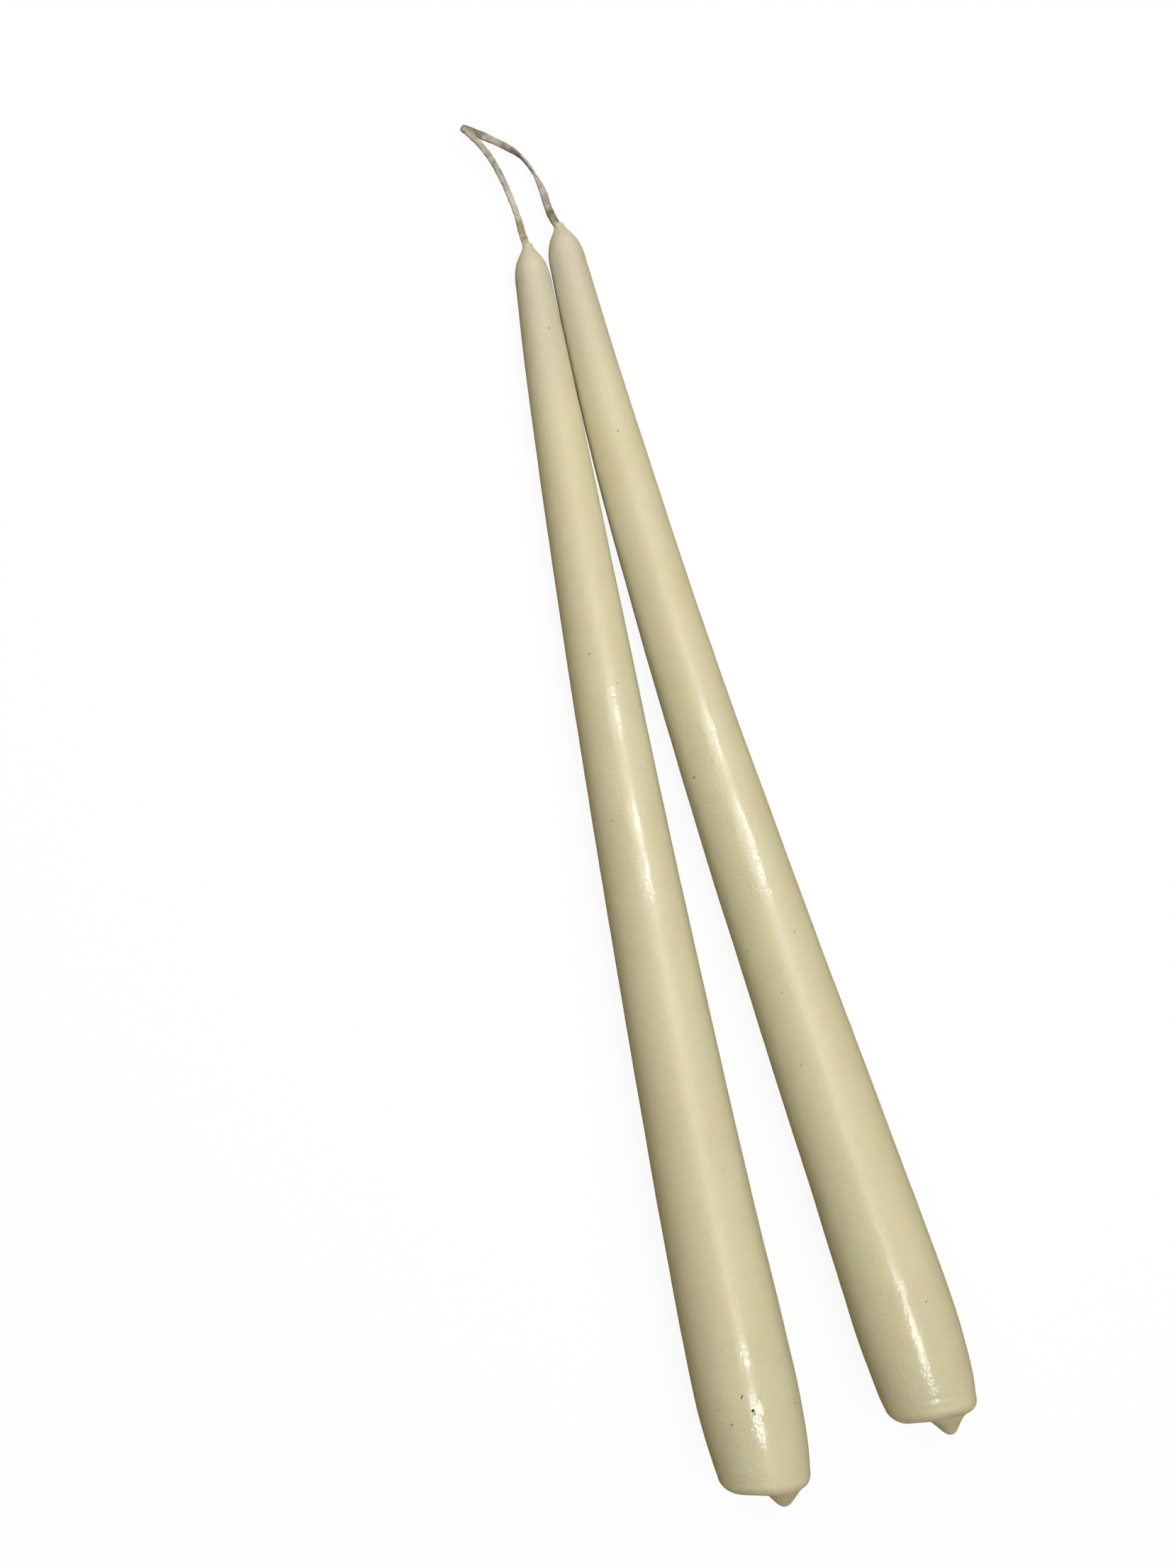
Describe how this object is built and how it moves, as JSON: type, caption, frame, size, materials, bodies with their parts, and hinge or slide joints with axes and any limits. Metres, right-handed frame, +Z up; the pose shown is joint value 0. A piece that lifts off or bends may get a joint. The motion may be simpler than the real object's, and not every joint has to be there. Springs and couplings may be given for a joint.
{
  "type": "joined pair of taper candles",
  "caption": "Pair of hand-dipped taper candles lying side by side, still joined at the tips by one uncut braided wick that folds back on itself.",
  "frame": {"origin": "on the ground the pair lies on, below the middle of the two tapers' bounding box, wick left out", "axes": "+Y along the pair from the butts to the tips, +X towards the right-hand taper, +Z up from the ground"},
  "size_m": [0.066, 0.3304, 0.0245],
  "materials": {
    "wax": "satin ivory wax",
    "wick": "braided cotton, waxed near the tapers"
  },
  "bodies": {
    "root": {"left_taper": "wax", "right_taper": "wax", "wick": "wick"}
  },
  "joints": []
}
